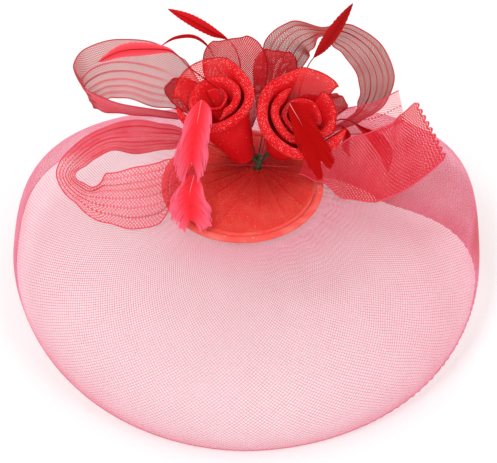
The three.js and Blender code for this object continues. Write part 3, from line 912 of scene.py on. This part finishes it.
def make_quill(name, points, side, start, width, material, stem_material):
    """A trimmed quill: a bare stem, then a satiny blade folded slightly along it."""
    spine = curve(points)
    side = unit(np.array(side, float))
    along, across = spread(13, 2)
    plain = spine(along) + side * ((across - 0.5) * quill_width(along, start, width))[..., None]
    place = fitter(plain, name, 0.9 * MM)
    share = np.linspace(0, 1, 90)
    middle = spine(share)
    mesh = Mesh()
    mesh.tube(place(middle), mix(0.5, 0.16, share) * MM, sides=8, slot=1)
    along, across = np.meshgrid(np.linspace(start, 1, 90), np.linspace(-1, 1, 15))
    here = spine(along)
    way = unit(np.gradient(here, axis=1))
    up = unit(np.cross(way, side))
    half = quill_width(along, start, width, stem=0.2, peak=1.15) / 2
    nick = 1 + 0.05 * np.sin(along * 190 + across) * np.abs(across) ** 3
    raised = np.abs(across) * half * 0.35
    blade = here + side * (across * half * nick)[..., None] + up * raised[..., None]
    cloth = np.stack([lengths(place(blade), 1) + np.abs(across) * 0.002, np.abs(across) * 0.8], -1)
    mesh.grid(place(blade), cloth, slot=0)
    stands_for(mesh.make(name + "_feather", material, stem_material), "feather", name)


def make_hackle(name, points, side, width, overrun, material, stem_material, seed):
    """A soft hackle: fine barbs that spring from its quill and part at the ragged end.

    overrun is how far past the quill's tip they reach."""
    random = np.random.default_rng(seed)
    spine = curve(points)
    side = unit(np.array(side, float))
    along, across = spread(9, 3)
    size = mix(3, width, np.sin(mix(0.1, 0.86, along) * math.pi))
    plain = spine(along) + side * ((across - 0.5) * size)[..., None]
    place = fitter(plain, name, 2 * MM)
    share = np.linspace(0, 0.9, 40)
    mesh = Mesh()
    mesh.tube(place(spine(share)), mix(0.42, 0.1, share) * MM, sides=8, slot=1)
    steps = np.linspace(0, 1, 9)
    beyond = (np.array(points[-1]) - np.array(points[-2])) * overrun
    clumps = 15
    longer, tilted, drooped = (random.uniform(*span, (2, clumps + 1)) for span in (
        (0.82, 1.1), (-0.05, 0.08), (-1.0, 1.0)))
    for root in np.linspace(0.0, 0.84, 170):
        for way in (-1, 1):
            start = np.clip(root + random.normal(0, 0.004), 0, 1)
            clump = int(start * clumps)
            in_clump = start * clumps - clump - 0.5
            ahead = min(1, start + 0.22)
            reach = mix(3, width, math.sin(mix(0.1, 0.86, ahead) * math.pi)) / 2
            reach *= longer[max(way, 0), clump] * random.uniform(0.85, 1.08)
            forward = 0.36 + 0.16 * start + tilted[max(way, 0), clump] + random.uniform(-0.02, 0.04)
            line = start + forward * steps**1.25 - in_clump * 0.05 * steps**2
            past = np.maximum(line - 1, 0)[:, None]
            here = spine(np.clip(line, 0, 1)) + past * beyond
            way_on = unit(spine(np.clip(line, 0, 0.98) + 0.02) - spine(np.clip(line, 0, 0.98)))
            up = unit(np.cross(way_on, side))
            bow = np.sin(steps**0.9 * math.pi / 2)
            droop = drooped[max(way, 0), clump] + random.uniform(-0.4, 0.4)
            path = here + side * (way * reach * bow)[:, None] + up * (droop * steps**2 + 0.3)[:, None]
            wide = (mix(0.45, 0.1, steps**1.4) * random.uniform(0.7, 1.15))[:, None]
            edge = unit(np.cross(unit(np.gradient(path, axis=0)), up)) * wide
            strip = np.stack([path - edge, path + edge], 1)
            cloth = np.stack([np.full((9, 2), root * 0.3), np.broadcast_to(steps[:, None], (9, 2))], -1)
            mesh.grid(place(strip), cloth, slot=0)
    stands_for(mesh.make(name + "_feather", material, stem_material), "feather", name)


QUILLS = {
    "quill_left_top": (
        [[0, 47, 34], [-2, 66, 56], [-8, 71, 66], [-18, 71, 73], [-33, 73, 82], [-48, 77, 88]],
        [0.4, 0.5, 0.75], 0.42, 7.5),
    "quill_left_middle": (
        [[-14, 52, 44], [-17, 57, 60], [-21, 62, 67], [-31, 61, 77], [-43, 60, 77], [-53, 62, 69]],
        [0.2, -0.5, 0.8], 0.35, 7),
    "quill_left_loop": (
        [[-14, 28, 62], [-24, 33, 67.5], [-34, 38, 73], [-44, 46, 78.5], [-61, 48, 79], [-78, 49, 76],
         [-92, 46, 70]],
        [0, 0.6, 0.8], 0.46, 9),
    "quill_right_top": (
        [[33, 40, 26], [38, 46, 54], [43, 49, 67], [50, 52, 75], [59, 57, 87], [70, 63, 104]],
        [0.8, -0.2, -0.5], 0.46, 8.5),
    "quill_right_side": (
        [[56, 30, 33], [66, 35, 31], [78, 37, 21], [87, 34, 15], [94, 25, 8], [94, 14, 3]],
        [0.9, 0.2, 0.4], 0.3, 10),
    "quill_right_small": (
        [[58, 29, 30], [64, 34, 26], [68, 34, 19], [67, 29, 13], [70, 24, 6]],
        [0.95, 0, 0.2], 0.2, 5.5),
}
HACKLES = {
    "hackle_left_upper": (
        [[-25, 10, 70], [-28, -3, 61], [-31, -13, 49], [-32, -21, 37]], [0.97, 0.1, 0.1], 22, 1.6),
    "hackle_left_lower": (
        [[-30, -17, 31], [-33, -27, 23], [-32, -37, 18], [-31, -45, 14]], [1, 0, 0], 26, 1.6),
    "hackle_right": (
        [[29, 16, 62], [36.5, 4, 56], [45.5, -8, 45.5], [52.5, -19, 36.5]], [0.7, 0.5, 0.5], 18, 0.5),
}


def make_feathers():
    satin = plume("quill_satin", (0.6, 0.004, 0.006), (0.72, 0.012, 0.018), 0.5 * MM, 0.42, 0.08)
    light = plume("quill_light", (0.9, 0.035, 0.05), (0.95, 0.11, 0.15), 0.5 * MM, 0.42, 0.1)
    dark = plume("quill_dark", (0.36, 0.003, 0.003), (0.46, 0.006, 0.007), 0.5 * MM, 0.42, 0.06)
    stem = plume("quill_stem", (0.32, 0.004, 0.007), (0.5, 0.015, 0.015), 2 * MM, 0.4, 0.05)
    bright = plume("hackle_bright", (0.88, 0.014, 0.022), (0.97, 0.15, 0.24), 1 * MM, gloss=0.06)
    deep = plume("hackle_deep", (0.4, 0.002, 0.002), (0.52, 0.004, 0.005), 1 * MM, gloss=0.02)
    pale = plume("hackle_quill", (0.9, 0.2, 0.24), (0.95, 0.35, 0.38), 2 * MM)
    looks = {"quill_left_loop": light, "quill_right_top": dark}
    for name, shape in QUILLS.items():
        make_quill(name, *shape, looks.get(name, satin), stem)
    for seed, (name, shape) in enumerate(HACKLES.items()):
        colour = deep if name == "hackle_right" else bright
        make_hackle(name, *shape, colour, pale, seed)


# -------- stems

BUNDLE = [9.9, 8.6, 15]
TAPED_ROOTS = ([-2.2, 11, 30], [25.5, 14.3, 30])
WIRED_ROOTS = (
    [3, 30, 28], [14, 32, 27], [-16, 34, 25], [28, 31, 25], [-25, 48, 35], [-36, 40, 27], [-31, 29, 20],
    [-28, 1, 23], [17, 43, 21], [60, 48, 11], [38, 4, 18], [55, 42, 17], [0, 47, 34], [-14, 52, 44],
    [-14, 28, 62], [33, 40, 26], [56, 30, 33], [58, 29, 30], [29, 16, 62],
)


def make_stems(name, roots, radius, material):
    """Stems that run from the trimmings' roots into the taped bundle on the base."""
    stems = Mesh()
    shares = np.linspace(0, 1, 24)
    bundle = np.array(BUNDLE, float)
    for count, root in enumerate(roots):
        root = np.array(root, float)
        turned = np.array([math.cos(count * 2.4), math.sin(count * 2.4), 0])
        foot = bundle + turned * 0.9
        middle = mix(root, foot, 0.62) + np.array([0, 0, 0.08 * (root[2] - foot[2])])
        stems.tube(curve([root, middle, foot, foot - [0.2, 0.4, 4]])(shares) * MM, radius * MM)
    stands_for(stems.make(name, material), "stem_tape")


# -------- clip

def finish_clip():
    metal = steel("brushed_steel")
    for name in ("clip_plate", "clip_jaw", "clip_pin", "clip_spring"):
        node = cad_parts[name]
        node.data.materials.clear()
        node.data.materials.append(metal)


# -------- stage

def make_camera():
    aim = Vector((3.9, -25.6, -10.6)) * MM
    away = 1.4
    elevation = math.radians(45)
    data = bpy.data.cameras.new("camera")
    data.sensor_width = 36
    data.lens = 159.2
    camera = bpy.data.objects.new("camera", data)
    bpy.context.scene.collection.objects.link(camera)
    back = Vector((0, -math.cos(elevation), math.sin(elevation)))
    camera.location = aim + back * away
    camera.rotation_mode = "QUATERNION"
    camera.rotation_quaternion = (-back).to_track_quat("-Z", "Y")
    bpy.context.scene.camera = camera


def area_light(name, place, aim, size, power):
    data = bpy.data.lights.new(name, "AREA")
    data.shape = "DISK"
    data.size = size
    data.energy = power
    light = bpy.data.objects.new(name, data)
    bpy.context.scene.collection.objects.link(light)
    light.location = place
    light.rotation_mode = "QUATERNION"
    light.rotation_quaternion = (Vector(aim) - Vector(place)).to_track_quat("-Z", "Y")


def make_stage():
    low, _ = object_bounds()
    floor = Mesh()
    across, back = np.meshgrid(np.linspace(-3, 3, 7), np.linspace(-3, 3, 7))
    points = np.stack([across, back, np.full_like(across, low.z - 1 * MM)], -1)
    floor.grid(points, points[..., :2])
    n = Nodes("floor_paper")
    n.surface(rgb(0.93, 0.93, 0.93), 0.9, specular=0.1)
    piece = floor.make("floor", n.material)
    world = bpy.data.worlds.new("studio")
    world.use_nodes = True
    world.node_tree.nodes["Background"].inputs[0].default_value = rgb(1, 1, 1)
    world.node_tree.nodes["Background"].inputs[1].default_value = 0.98
    bpy.context.scene.world = world
    area_light("key", (-0.7, -0.7, 1.5), (0, 0, 0), 0.6, 6)
    area_light("fill", (0.9, -0.5, 1.1), (0, 0, 0), 0.8, 2)
    area_light("back", (0.2, 1.2, 1.0), (0, 0, 0), 0.8, 2)
    bpy.context.scene.view_settings.view_transform = "Standard"
    bpy.context.scene.cycles.transparent_max_bounces = 32


def make_headpiece():
    """Every piece but the clip, with its materials."""
    # the brim's fold colour, where its threads stack, also darkens the painted shadow under the base
    pink = crin("crin_pink", (0.84, 0.12, 0.235), (0.88, 0.18, 0.31), 0.92, share=0.126, glitter=0.012,
                fold=(0.64, 0.06, 0.085), folded=(1.4, 3.4))
    # the roses' red: painted shade towards each cup's throat, painted glints on the roll crests, painted
    # shade between the threads
    red = crin("crin_red", (0.78, 0.006, 0.01), (0.86, 0.02, 0.026), 0.92, share=0.46, pitch=1.1 * MM,
               glitter=0.03, gloss=0.04, shade=(0.02, RIM), shine=RIM - 2 * MM, gap_shade=0.6)
    # the cover's red: painted shade round its collar under the roses, painted glints, and painted shade
    # between the threads
    cover_red = crin("crin_cover", (0.8, 0.014, 0.012), (0.88, 0.03, 0.025), 0.7, share=0.26,
                     pitch=1.0 * MM, glitter=0.3, gloss=0.04, shade=(0.004, 0.034), near=0.036, gap_shade=0.35)
    # the free petals' red: painted shade between the threads, and painted glints
    petal_red = crin("crin_petal", (0.64, 0.012, 0.02), (0.72, 0.04, 0.05), 0.94, share=0.64,
                     pitch=1.0 * MM, glitter=0.06, gloss=0.05, gap_shade=0.4)
    grey = crin("crin_ribbon_grey", (0.54, 0.09, 0.09), (0.6, 0.13, 0.12), 0.85, share=0.52, pitch=1.0 * MM,
                glitter=0.01, fold=(0.86, 0.08, 0.13))
    dusky = crin("crin_ribbon_dusky", (0.38, 0.07, 0.06), (0.42, 0.11, 0.09), 0.9, share=0.6,
                 pitch=1.0 * MM, glitter=0.01, fold=(0.66, 0.04, 0.055))
    rosy = crin("crin_ribbon_rosy", (0.86, 0.045, 0.08), (0.9, 0.1, 0.14), 0.75, share=0.34, glitter=0.04)
    raspberry = crin("crin_raspberry", (0.68, 0.014, 0.03), (0.76, 0.04, 0.06), 0.92, share=0.55,
                     pitch=1.4 * MM, glitter=0.05, gloss=0.06)
    edge_pink = bound_edge("edge_pink", (0.86, 0.14, 0.22), (0.9, 0.25, 0.32), alpha=0.5)
    edge_red = bound_edge("edge_red", (0.55, 0.003, 0.006), (0.66, 0.02, 0.025))
    edge_grey = bound_edge("edge_grey", (0.62, 0.03, 0.045), (0.7, 0.08, 0.09))
    edge_rosy = bound_edge("edge_rosy", (0.84, 0.045, 0.09), (0.9, 0.18, 0.24))
    coral = woven("coral_cloth", (0.98, 0.1, 0.08), (0.99, 0.17, 0.12), 0.6 * MM, 0.04)
    coral_band = woven("coral_band", (0.92, 0.09, 0.075), (0.95, 0.17, 0.14), 0.8 * MM, 0.12, 0.5)

    make_brim(pink, edge_pink)
    make_disc(coral)
    make_binding(coral_band, edge_rosy)
    make_cover(cover_red)
    make_pad(felted("red_felt", (0.36, 0.01, 0.015), (0.48, 0.02, 0.02)))
    # the tape's olive green is made darker as painted shade, for the shade it lies in between the roses
    green = tape("green_tape", (0.02, 0.026, 0.006), (0.045, 0.05, 0.012))
    make_stem_wrap(green)
    make_stems("rose_stems", TAPED_ROOTS, 1.3, green)
    make_stems("wired_stems", WIRED_ROOTS, 0.45, tape("red_wire", (0.3, 0.004, 0.006), (0.5, 0.012, 0.016)))
    make_roses(red, edge_red)
    make_back_petals(petal_red, edge_red)
    make_ribbons(grey, dusky, rosy, raspberry, edge_grey, edge_rosy)
    make_feathers()


make_camera()
make_stage()
make_headpiece()
finish_clip()
